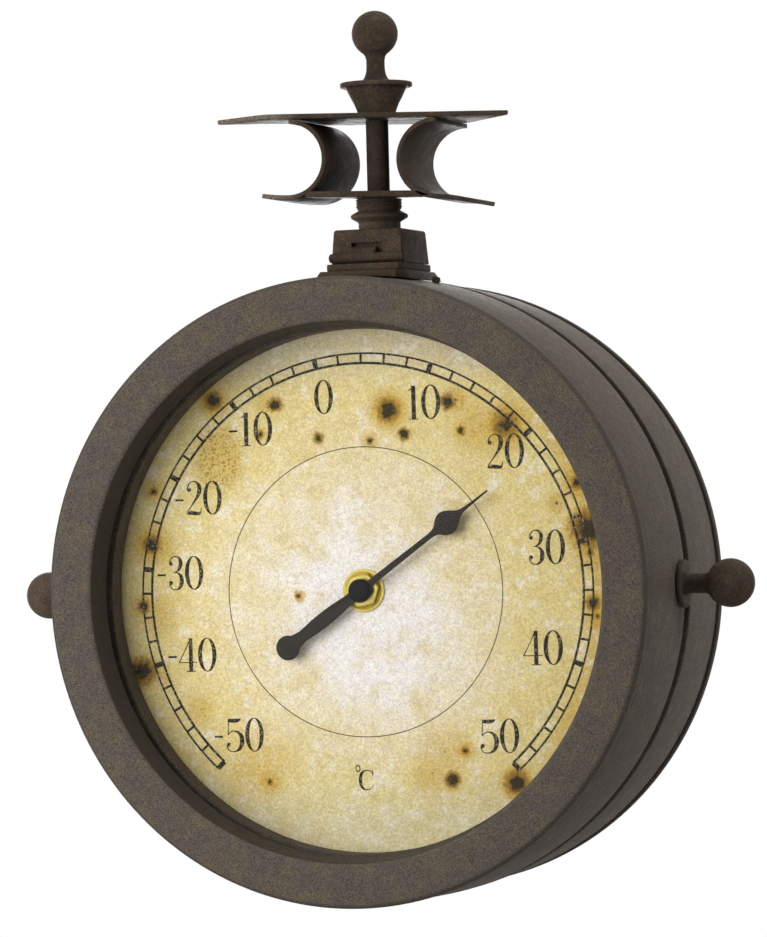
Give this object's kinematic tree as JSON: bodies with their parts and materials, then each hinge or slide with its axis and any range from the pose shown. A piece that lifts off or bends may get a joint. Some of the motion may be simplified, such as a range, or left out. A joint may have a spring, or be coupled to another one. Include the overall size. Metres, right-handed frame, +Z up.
{
  "type": "double-sided garden clock on a scroll bracket",
  "caption": "Round double-sided garden clock with a thermometer face and a clock face, turning under a scroll bracket with a ball finial, and thumbscrews at its sides",
  "frame": {"origin": "on the post axis, level with the top of the upper plate, where the arm of a wall bracket holds the clock; the post axis passes through the middle of the case's depth", "axes": "+Z up along the post, +X to the right seen from the thermometer face, +Y away from that viewer: the thermometer face looks along -Y and the clock face along +Y"},
  "size_m": [0.3726, 0.139, 0.4328],
  "materials": {
    "antique_brown": "speckled antique paint, satin",
    "dark_brown": "dark brown paint over forged and cast iron, rusty in places",
    "black_paint": "satin black",
    "brass": "turned brass, bright",
    "steel": "zinc-plated steel",
    "dial_paint": "printed sheet, aged cream with brown stains",
    "clear_glass": "clear float glass",
    "black_rubber": "matte",
    "black_plastic": "moulded, satin",
    "cell_jacket": "printed sleeve over steel"
  },
  "bodies": {
    "bracket": {"top_finial": "dark_brown", "upper_plate": "dark_brown", "scroll_left": "dark_brown", "scroll_right": "dark_brown", "lower_plate": "dark_brown", "spacer_post": "dark_brown", "tie_rod": "steel", "swivel_collar": "dark_brown", "swivel_nut": "steel"},
    "case": {"hanger_block": "dark_brown", "latch_tongue": "dark_brown", "hanger_crossbar": "dark_brown", "hanger_base": "dark_brown", "hanger_saddle": "dark_brown", "saddle_screw_left": "dark_brown", "saddle_screw_right": "dark_brown", "front_drum": "antique_brown", "front_bezel": "antique_brown", "front_gasket": "black_rubber", "front_glass": "clear_glass", "front_spacer": "antique_brown", "thermometer_dial": "dial_paint", "front_retainer": "black_plastic", "left_clamp_nut": "steel", "right_clamp_nut": "steel", "thermometer_can": "steel", "bimetal_coil": "steel", "coil_post": "steel", "thermometer_bush": "brass", "thermometer_washer": "brass", "thermometer_nut": "brass"},
    "clock_half": {"rear_drum": "antique_brown", "rear_bezel": "antique_brown", "rear_gasket": "black_rubber", "rear_glass": "clear_glass", "rear_spacer": "antique_brown", "clock_dial": "dial_paint", "rear_retainer": "black_plastic", "movement_case": "black_plastic", "contact_plus": "steel", "contact_minus": "steel", "clock_bush": "brass", "clock_washer": "brass", "clock_nut": "brass"},
    "temperature_hand": {"thermometer_pointer": "black_paint", "thermometer_arbor": "steel", "pointer_cap": "black_paint"},
    "minute": {"minute_hand": "black_paint", "minute_arbor": "steel", "hand_cap": "black_paint"},
    "hour": {"hour_hand": "black_paint", "hour_pipe": "brass"},
    "setting_wheel": {"set_wheel": "black_plastic"},
    "cell": {"battery": "cell_jacket"},
    "left_thumbscrew": {"left_knob": "dark_brown"},
    "right_thumbscrew": {"right_knob": "dark_brown"}
  },
  "joints": [
    {"name": "bracket_swivel", "type": "hinge", "parent": "bracket", "child": "case", "pos_m": [0, 0, -0.065], "axis": [0, 0, 1], "continuous": true},
    {"name": "case_opening", "type": "slide", "parent": "case", "child": "clock_half", "axis": [0, 1, 0], "range_m": [0, 0.08]},
    {"name": "temperature_turn", "type": "hinge", "parent": "case", "child": "temperature_hand", "pos_m": [0, -0.0412, -0.2307], "axis": [0, 1, 0], "range_deg": [-191.7, 84.3]},
    {"name": "minute_turn", "type": "hinge", "parent": "clock_half", "child": "minute", "pos_m": [0, 0.0422, -0.2307], "axis": [0, -1, 0], "continuous": true},
    {"name": "hour_turn", "type": "hinge", "parent": "clock_half", "child": "hour", "pos_m": [0, 0.0404, -0.2307], "axis": [0, -1, 0], "continuous": true},
    {"name": "setting_turn", "type": "hinge", "parent": "clock_half", "child": "setting_wheel", "pos_m": [0.014, 0.0165, -0.2187], "axis": [0, -1, 0], "continuous": true},
    {"name": "cell_removal", "type": "slide", "parent": "clock_half", "child": "cell", "axis": [0, -1, 0], "range_m": [0, 0.02]},
    {"name": "left_thumbscrew_turn", "type": "hinge", "parent": "case", "child": "left_thumbscrew", "pos_m": [-0.16, -0.0105, -0.2307], "axis": [-1, 0, 0], "continuous": true},
    {"name": "right_thumbscrew_turn", "type": "hinge", "parent": "case", "child": "right_thumbscrew", "pos_m": [0.16, -0.0105, -0.2307], "axis": [1, 0, 0], "continuous": true}
  ],
  "couplings": [
    {"joint": "hour_turn", "follows": "minute_turn", "ratio": 0.083333},
    {"joint": "setting_turn", "follows": "minute_turn", "ratio": -1}
  ]
}
